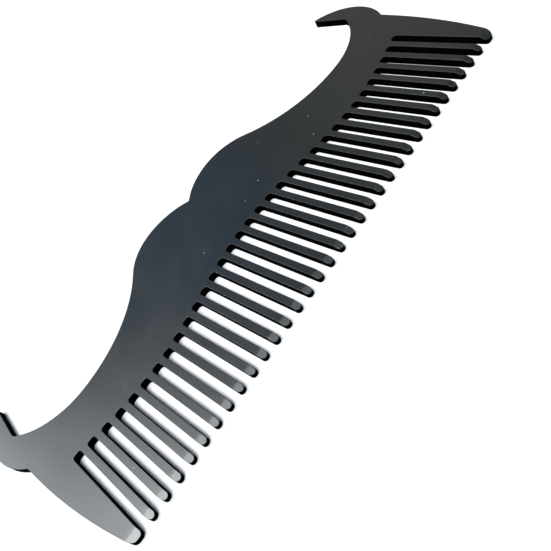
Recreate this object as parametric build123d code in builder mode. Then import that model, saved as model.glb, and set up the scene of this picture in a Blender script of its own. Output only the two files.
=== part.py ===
"""Pocket beard comb with a moustache-shaped back: one flat metal plate with every tooth cut from it.

Millimetres, +Z up. The comb lies on its back face. X runs along the row of teeth, Y from the tooth tips to
the moustache, and Z out of the front face. The origin is under the middle of the plate's box.
"""
import os
from math import cos, pi

from build123d import *

# Plate. Its depth is from the line of the tooth tips to the ends of the curls.
PLATE_THICKNESS = 1.2
PLATE_DEPTH = 34.2
EDGE_BREAK = 0.05

# How near a place has to be to count as the one that is looked for.
MATCH = 0.001

# Teeth. The pitch is one slot and one tooth. A wider guard tooth closes each end of the row.
SLOT_COUNT = 33
SLOT_WIDTH = 1.3
TOOTH_WIDTH = 1.0
TOOTH_PITCH = SLOT_WIDTH + TOOTH_WIDTH
ROOT_CORNER_RADIUS = 0.45
TIP_CORNER_RADIUS = 0.47
GUARD_CORNER_RADIUS = 0.85
TIP_BEVEL_LENGTH = 1.25
TIP_BEVEL_ANGLE = 26
TIP_BEVEL_RADIUS = 0.8

# The slots' closed ends follow a cosine wave under the moustache, in heights above the line of the tips.
ROOT_MEAN_HEIGHT = 15.0
ROOT_WAVE_HEIGHT = 1.5
ROOT_HALF_WAVE = 10.3 * TOOTH_PITCH
LOWEST_ROOT = ROOT_MEAN_HEIGHT - 1.1 * ROOT_WAVE_HEIGHT
HIGHEST_ROOT = ROOT_MEAN_HEIGHT + 1.1 * ROOT_WAVE_HEIGHT
SLOT_CUT = HIGHEST_ROOT + TOOTH_PITCH

# Right half of the moustache, as (distance from the middle, height above the line of the tips).
NOTCH = (0, 29.9)
HUMP_TOP = (7.1, 32.5)
HUMP_RADIUS = 9.3
VALLEY_BOTTOM = (30.4, 21.9)
HOOK_START = (40.83, 27.18)
HOOK_TOP = (41.05, 28.0)
CURL_TIP = (40.35, PLATE_DEPTH)
CURL_TIP_WIDTH = 0.36
CURL_CORNER_RADIUS = 0.2
INNER_CORNER_RADIUS = 0.2
CURL_BULGE = (44.25, 26.5)
CURL_CUSP = (42.15, 20.85)
SIDE_MIDDLE = (41.35, 11.6)
GUARD_FOOT = (38.95, 0)
PLATE_LENGTH = 2 * CURL_BULGE[0]

# The hump's arc and the valley's arc meet on the line between the hump's top and the valley's bottom.
FLANK_RUN = VALLEY_BOTTOM[0] - HUMP_TOP[0]
FLANK_DROP = HUMP_TOP[1] - VALLEY_BOTTOM[1]
FLANK_RADII = (FLANK_RUN**2 + FLANK_DROP**2) / (2 * FLANK_DROP)
FLANK_SHARE = HUMP_RADIUS / FLANK_RADII
FLANK = (HUMP_TOP[0] + FLANK_SHARE * FLANK_RUN, HUMP_TOP[1] - FLANK_SHARE * FLANK_DROP)

# The line of the tips lies half the plate's depth in front of the origin.
TIP_LINE_Y = -PLATE_DEPTH / 2
BEVEL_LINE_Y = TIP_LINE_Y + TIP_BEVEL_LENGTH


def root_height(x):
    """Height of the closed end of the slot at distance x from the middle."""
    return ROOT_MEAN_HEIGHT + ROOT_WAVE_HEIGHT * cos(pi * x / ROOT_HALF_WAVE)


slot_centres = [(i - (SLOT_COUNT - 1) / 2) * TOOTH_PITCH for i in range(SLOT_COUNT)]

with BuildPart() as comb_plate:
    with BuildSketch(Plane((0, TIP_LINE_Y, 0))) as plan:
        # Right half of the outline, from the middle over the hump to the curl and down to the guard tooth.
        with BuildLine():
            TangentArc(HUMP_TOP, NOTCH, tangent=(-1, 0))
            TangentArc(HUMP_TOP, FLANK, tangent=(1, 0))
            TangentArc(VALLEY_BOTTOM, FLANK, tangent=(-1, 0))
            valley = TangentArc(VALLEY_BOTTOM, HOOK_START, tangent=(1, 0))
            TangentArc(HOOK_START, HOOK_TOP, tangent=valley % 1)
            Line(HOOK_TOP, CURL_TIP)
            curl_shoulder = (CURL_TIP[0] + CURL_TIP_WIDTH, CURL_TIP[1])
            Line(CURL_TIP, curl_shoulder)
            ThreePointArc(curl_shoulder, CURL_BULGE, CURL_CUSP)
            ThreePointArc(CURL_CUSP, SIDE_MIDDLE, GUARD_FOOT)
            Line(GUARD_FOOT, (0, 0))
            mirror(about=Plane.YZ)
        make_face()

        # Each slot is cut from its root down past the line of the tips.
        for x in slot_centres:
            with Locations((x, root_height(x))):
                Rectangle(SLOT_WIDTH, SLOT_CUT, align=(Align.CENTER, Align.MAX), mode=Mode.SUBTRACT)

        # A fillet renews the sketch's vertices, so each set of corners is chosen after the one before it.
        tip_corners = plan.vertices().group_by(Axis.Y)[0].sort_by(Axis.X)
        fillet(tip_corners[1:-1], TIP_CORNER_RADIUS)
        tip_line_ends = plan.vertices().group_by(Axis.Y)[0].sort_by(Axis.X)
        fillet([tip_line_ends[0], tip_line_ends[-1]], GUARD_CORNER_RADIUS)
        root_corners = plan.vertices().filter_by_position(Axis.Y, LOWEST_ROOT, HIGHEST_ROOT)
        fillet(root_corners, ROOT_CORNER_RADIUS)
        curl_corners = plan.vertices().group_by(Axis.Y)[-1]
        fillet(curl_corners, CURL_CORNER_RADIUS)

        # The inner corners are the notch in the middle of the moustache and the cusp below each curl.
        notch = plan.vertices().filter_by_position(Axis.Y, NOTCH[1] - MATCH, NOTCH[1] + MATCH)
        cusps = plan.vertices().filter_by_position(Axis.Y, CURL_CUSP[1] - MATCH, CURL_CUSP[1] + MATCH)
        fillet(notch + cusps, INNER_CORNER_RADIUS)
    extrude(amount=PLATE_THICKNESS)

    # A round ridge and then a slope take the front off all the tips, so they slide in over the skin.
    with BuildSketch(Plane.YZ.offset(-PLATE_LENGTH / 2)):
        with BuildLine():
            ridge = JernArc((BEVEL_LINE_Y, PLATE_THICKNESS), (-1, 0), TIP_BEVEL_RADIUS, TIP_BEVEL_ANGLE)
            slope = PolarLine(ridge @ 1, TIP_BEVEL_LENGTH, direction=ridge % 1)
            past_tips = (slope @ 1).X
            Polyline(
                slope @ 1,
                (past_tips, 2 * PLATE_THICKNESS),
                (BEVEL_LINE_Y, 2 * PLATE_THICKNESS),
                ridge @ 0,
            )
        make_face()
    extrude(amount=PLATE_LENGTH, mode=Mode.SUBTRACT)

    # The rims of both faces are broken all round. The two lines across each ridge are smooth and stay.
    rims = comb_plate.edges() - comb_plate.edges().filter_by(Axis.Z)
    cross_lines = rims.filter_by(Axis.X)
    ridge_lines = cross_lines.filter_by_position(Axis.Y, (ridge @ 1).X - MATCH, BEVEL_LINE_Y + MATCH)
    fillet(rims - ridge_lines, EDGE_BREAK)

comb_plate.part.label = "comb_plate"
os.makedirs("parts", exist_ok=True)
export_step(comb_plate.part, "parts/comb_plate.step")
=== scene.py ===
"""Looks for the moustache-backed beard comb: a steel plate with a satin black coating, on a pale floor."""
import math

import bpy
from mathutils import Euler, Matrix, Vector


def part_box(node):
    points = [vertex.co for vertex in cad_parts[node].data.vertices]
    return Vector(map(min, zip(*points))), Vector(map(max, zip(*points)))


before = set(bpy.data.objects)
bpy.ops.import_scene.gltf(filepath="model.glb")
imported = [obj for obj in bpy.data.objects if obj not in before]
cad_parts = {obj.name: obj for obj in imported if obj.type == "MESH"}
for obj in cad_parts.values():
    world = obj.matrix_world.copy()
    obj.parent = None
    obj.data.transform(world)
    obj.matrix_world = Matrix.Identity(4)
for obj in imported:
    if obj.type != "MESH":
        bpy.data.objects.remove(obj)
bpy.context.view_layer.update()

COMB = "comb_plate"
comb_low, comb_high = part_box(COMB)
LENGTH = comb_high.x - comb_low.x
MM = 0.001

# Camera: in front of the teeth, left of the middle, close over the comb as a phone is held. The turn is
# in degrees, and the lens and the sensor are in camera millimetres.
CAMERA_PLACE = Vector((-0.02369, -0.06007, 0.05256))
CAMERA_TURN = (37.995, 26.892, -50.314)
CAMERA_LENS = 38.65
CAMERA_SENSOR = 36.0
CAMERA_NEAREST = 1.0 * MM

# Studio: soft round lamps far away, each as wide as the angle, in degrees. A lamp is its name, its direction
# from the comb, its strength in W/m2 and its colour.
LAMP_ANGLE = 23.0
LAMPS = (
    ("front_left", (-0.33, -0.28, 0.90), 4.10, (0.93, 0.97, 0.95)),
    ("high_left", (-0.28, 0.10, 0.95), 1.80, (0.88, 0.95, 0.94)),
    ("left", (-0.20, 0.50, 0.84), 1.95, (0.88, 0.94, 0.95)),
    ("back_left", (-0.40, 0.79, 0.47), 1.35, (0.82, 0.90, 0.97)),
    ("overhead", (-0.05, -0.30, 0.95), 1.35, (0.82, 0.93, 1.00)),
    ("back", (0.20, 0.76, 0.62), 0.06, (0.10, 0.45, 1.00)),
    ("right", (0.58, 0.56, 0.58), 0.050, (0.95, 1.00, 0.75)),
)

# Sky: a dim dome, cool on the left and warmer on the right, over a white horizon and a dark ground. Each
# change of colour is a pair of heights or of places from left to right, on a dome of radius 1.
SKY_LEFT = (0.052, 0.080, 0.086, 1.0)
SKY_RIGHT = (0.088, 0.094, 0.072, 1.0)
SKY_HORIZON = (1.0, 1.0, 1.0, 1.0)
SKY_GROUND = (0.03, 0.03, 0.03, 1.0)
LEFT_TO_RIGHT = (0.1, 0.7)
DOME_TO_HORIZON = (0.26, 0.18)
GROUND_TO_HORIZON = (-0.03, -0.01)

# Floor: so wide that its far edge meets the horizon in low views, and just under the comb
FLOOR_SIZE = 400 * LENGTH
FLOOR_GAP = 0.02 * MM
FLOOR_COLOUR = (0.46, 0.44, 0.46, 1.0)
FLOOR_ROUGHNESS = 0.9
FLOOR_SPECULAR = 0.1

# Colours of the coating and of what is on it
COAT_DARK = (0.0040, 0.0043, 0.0047, 1.0)
COAT_LIGHT = (0.0060, 0.0064, 0.0068, 1.0)
# Painted shade: the near-black that the cut walls are painted, standing in for the dark surroundings they
# mirror
WALL_SHADE_BLACK = (0.0020, 0.0020, 0.0020, 1.0)
MARK_GREY = (0.036, 0.038, 0.040, 1.0)
WORN_GREY = (0.035, 0.036, 0.038, 1.0)
DUST_GREY = (0.22, 0.22, 0.21, 1.0)

# Roughness and gloss of the same. The face's roughness goes from one value to the other with the
# mottling. Metallic turns down the gloss of a black surface; on the cut walls, with their painted-shade
# black, it is painted shade too.
FACE_ROUGHNESS = (0.28, 0.34)
SLOPE_ROUGHNESS = 0.33
MARK_ROUGHNESS = 0.42
RIM_ROUGHNESS = 0.50
WORN_ROUGHNESS = 0.36
WALL_ROUGHNESS = 0.80
DUST_ROUGHNESS = 0.90
COAT_SPECULAR = 0.5
RIM_METALLIC = 0.5
WALL_METALLIC = 1.0
WORN_METALLIC = 0.0

# Noise patterns, in cycles per metre, and the height and strength of the bump that the fine ones give
MOTTLING_SCALE = 140.0
WEAR_SCALE = 900.0
MARK_SCALE = 4200.0
GRAIN_SCALE = 9000.0
BUMP_HEIGHT = 0.02 * MM
GRAIN_BUMP = 0.20
MARK_BUMP = 0.34

# Dust: one speck in each chosen cell of a 3.3 mm mosaic, with the radii in cells
DUST_SCALE = 300.0
DUST_SMALLEST = 0.012
DUST_LARGEST = 0.034
DUST_EDGE = 0.012
DUST_CHOICE = (0.84, 0.86)


class Graph:
    """A small helper that adds nodes to one node tree and links them by socket name."""

    def __init__(self, tree):
        self.tree = tree

    def add(self, kind, inputs=None, **settings):
        node = self.tree.nodes.new("ShaderNode" + kind)
        for key, value in settings.items():
            setattr(node, key, value)
        for key, value in (inputs or {}).items():
            self.feed(node, key, value)
        return node

    def feed(self, node, key, value):
        if isinstance(value, bpy.types.NodeSocket):
            self.tree.links.new(value, node.inputs[key])
        else:
            node.inputs[key].default_value = value


def new_material(name):
    """A material of one Principled shader, and the graph that its nodes are added to."""
    material = bpy.data.materials.new(name)
    material.use_nodes = True
    return material, Graph(material.node_tree)


def surface(g, **inputs):
    """Sets or links the shader's sockets."""
    for key, value in inputs.items():
        g.feed(g.tree.nodes["Principled BSDF"], key.replace("_", " "), value)


def mask(g, value, start, full):
    """0 where value is at start, 1 where it is at full or past it."""
    ramp = g.add("MapRange", {"Value": value, "From Min": start, "From Max": full})
    ramp.interpolation_type = "SMOOTHSTEP"
    return ramp.outputs["Result"]


def both(g, first, second):
    """The product of two masks."""
    return g.add("Math", {0: first, 1: second}, operation="MULTIPLY").outputs["Value"]


def paint(g, under, over, amount):
    """Colour over laid on colour under, as far as the mask amount says."""
    return g.add("Mix", {"Factor": amount, 6: under, 7: over}, data_type="RGBA").outputs[2]


def noise(g, place, scale, detail, roughness):
    """A cloudy pattern from 0 to 1."""
    inputs = {"Vector": place, "Scale": scale, "Detail": detail, "Roughness": roughness}
    return g.add("TexNoise", inputs).outputs["Fac"]


def blend_values(g, low, high, amount):
    """A number that goes from low to high with the mask amount."""
    return g.add("Mix", {"Factor": amount, 2: low, 3: high}, data_type="FLOAT").outputs[0]


def dust(g, place, flat):
    """Sparse pale specks, one or two tenths of a millimetre across, on the flat faces only."""
    cells = g.add("TexVoronoi", {"Vector": place, "Scale": DUST_SCALE}, voronoi_dimensions="2D")
    dice = g.add("SeparateColor", {"Color": cells.outputs["Color"]})
    sizes = {"Value": dice.outputs["Green"], "To Min": DUST_SMALLEST, "To Max": DUST_LARGEST}
    radius = g.add("MapRange", sizes).outputs["Result"]
    inside = g.add("Math", {0: radius, 1: cells.outputs["Distance"]}, operation="SUBTRACT")
    speck = mask(g, inside.outputs["Value"], 0.0, DUST_EDGE)
    chosen = mask(g, dice.outputs["Red"], *DUST_CHOICE)
    return both(g, both(g, speck, chosen), flat)


def black_coating():
    """Satin black coating with faint mottling, grain, ground slopes, worn rims and dust, and with cut walls
    painted near-black and glossless as painted shade.
    """
    coating, g = new_material("satin_black_coating")
    place = g.add("TexCoord").outputs["Object"]
    facing = g.add("SeparateXYZ", {"Vector": g.add("NewGeometry").outputs["Normal"]})
    upright = g.add("Math", {0: facing.outputs["Z"]}, operation="ABSOLUTE").outputs["Value"]
    forward = g.add("Math", {0: facing.outputs["Y"], 1: -1.0}, operation="MULTIPLY").outputs["Value"]

    # Where the surface is: flat face, cut wall, broken rim, or the slope that is ground on each tip.
    # Upright is 1 on a face and 0 on a wall, and forward is 1 where the surface looks out past the tips.
    flat = mask(g, upright, 0.93, 0.99)
    # Painted shade mask: the cut walls, which are painted black and glossless below
    shaded_wall = mask(g, upright, 0.35, 0.08)
    rim = both(g, mask(g, upright, 0.10, 0.35), mask(g, upright, 0.89, 0.78))
    slope = both(g, mask(g, forward, 0.10, 0.28), mask(g, upright, 0.80, 0.86))

    mottling = noise(g, place, MOTTLING_SCALE, 5.0, 0.6)
    wear = noise(g, place, WEAR_SCALE, 4.0, 0.6)
    grain = noise(g, place, GRAIN_SCALE, 3.0, 0.6)
    grinding = noise(g, place, MARK_SCALE, 2.0, 0.7)
    worn = both(g, rim, mask(g, wear, 0.60, 0.70))
    marks = both(g, slope, mask(g, grinding, 0.59, 0.67))
    specks = dust(g, place, flat)

    colour = paint(g, COAT_DARK, COAT_LIGHT, mottling)
    # Painted shade: the cut walls are painted near-black
    colour = paint(g, colour, WALL_SHADE_BLACK, shaded_wall)
    colour = paint(g, colour, MARK_GREY, marks)
    colour = paint(g, colour, WORN_GREY, worn)
    colour = paint(g, colour, DUST_GREY, specks)

    face = {"Value": mottling, "From Min": 0.3, "From Max": 0.7}
    face["To Min"], face["To Max"] = FACE_ROUGHNESS
    rough = blend_values(g, g.add("MapRange", face).outputs["Result"], SLOPE_ROUGHNESS, slope)
    rough = blend_values(g, rough, MARK_ROUGHNESS, marks)
    rough = blend_values(g, rough, RIM_ROUGHNESS, rim)
    rough = blend_values(g, rough, WORN_ROUGHNESS, worn)
    rough = blend_values(g, rough, WALL_ROUGHNESS, shaded_wall)
    rough = blend_values(g, rough, DUST_ROUGHNESS, specks)

    metallic = blend_values(g, both(g, rim, RIM_METALLIC), WORN_METALLIC, worn)
    # Painted shade: full metallic on the walls' near-black turns their gloss off, so they stay black
    metallic = blend_values(g, metallic, WALL_METALLIC, shaded_wall)

    height = blend_values(g, grain, grinding, slope)
    strength = blend_values(g, GRAIN_BUMP, MARK_BUMP, slope)
    bump = g.add("Bump", {"Height": height, "Strength": strength, "Distance": BUMP_HEIGHT})
    surface(g, Base_Color=colour, Metallic=metallic, Roughness=rough, Normal=bump.outputs["Normal"])
    surface(g, Specular_IOR_Level=COAT_SPECULAR)
    return coating


def floor_surface():
    """Plain pale matt floor."""
    floor, g = new_material("pale_floor")
    surface(g, Base_Color=FLOOR_COLOUR, Roughness=FLOOR_ROUGHNESS, Specular_IOR_Level=FLOOR_SPECULAR)
    return floor


def make_floor():
    """A wide plane under the comb. Glossy surfaces don't mirror it."""
    bpy.ops.mesh.primitive_plane_add(size=FLOOR_SIZE, location=(0, 0, comb_low.z - FLOOR_GAP))
    floor = bpy.context.object
    floor.name = "floor"
    floor.data.materials.append(floor_surface())
    floor.visible_glossy = False


def make_lamps():
    """Each lamp is a wide sun, so its light is the same from every camera and all over the floor."""
    for name, direction, strength, colour in LAMPS:
        light = bpy.data.lights.new(name, "SUN")
        light.angle = math.radians(LAMP_ANGLE)
        light.energy = strength
        light.color = colour
        lamp = bpy.data.objects.new(name, light)
        lamp.rotation_euler = Vector(direction).to_track_quat("Z", "Y").to_euler()
        bpy.context.scene.collection.objects.link(lamp)


def make_sky():
    """The dome that the glossy coating mirrors, with its horizon and ground."""
    world = bpy.data.worlds.new("soft_sky")
    world.use_nodes = True
    sky = Graph(world.node_tree)
    direction = sky.add("SeparateXYZ", {"Vector": sky.add("TexCoord").outputs["Generated"]})
    side = direction.outputs["X"]
    rise = direction.outputs["Z"]
    dome = paint(sky, SKY_LEFT, SKY_RIGHT, mask(sky, side, *LEFT_TO_RIGHT))
    above = paint(sky, dome, SKY_HORIZON, mask(sky, rise, *DOME_TO_HORIZON))
    whole = paint(sky, SKY_GROUND, above, mask(sky, rise, *GROUND_TO_HORIZON))
    sky.feed(world.node_tree.nodes["Background"], "Color", whole)
    bpy.context.scene.world = world


def make_camera():
    """The camera, with no shift and no depth of field."""
    camera = bpy.data.objects.new("camera", bpy.data.cameras.new("camera"))
    camera.location = CAMERA_PLACE
    camera.rotation_euler = Euler([math.radians(a) for a in CAMERA_TURN])
    camera.data.lens = CAMERA_LENS
    camera.data.sensor_width = CAMERA_SENSOR
    camera.data.clip_start = CAMERA_NEAREST
    bpy.context.scene.collection.objects.link(camera)
    bpy.context.scene.camera = camera


make_camera()
make_sky()
make_lamps()
make_floor()

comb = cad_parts[COMB]
comb.data.materials.clear()
comb.data.materials.append(black_coating())

bpy.context.scene.view_settings.view_transform = "Standard"
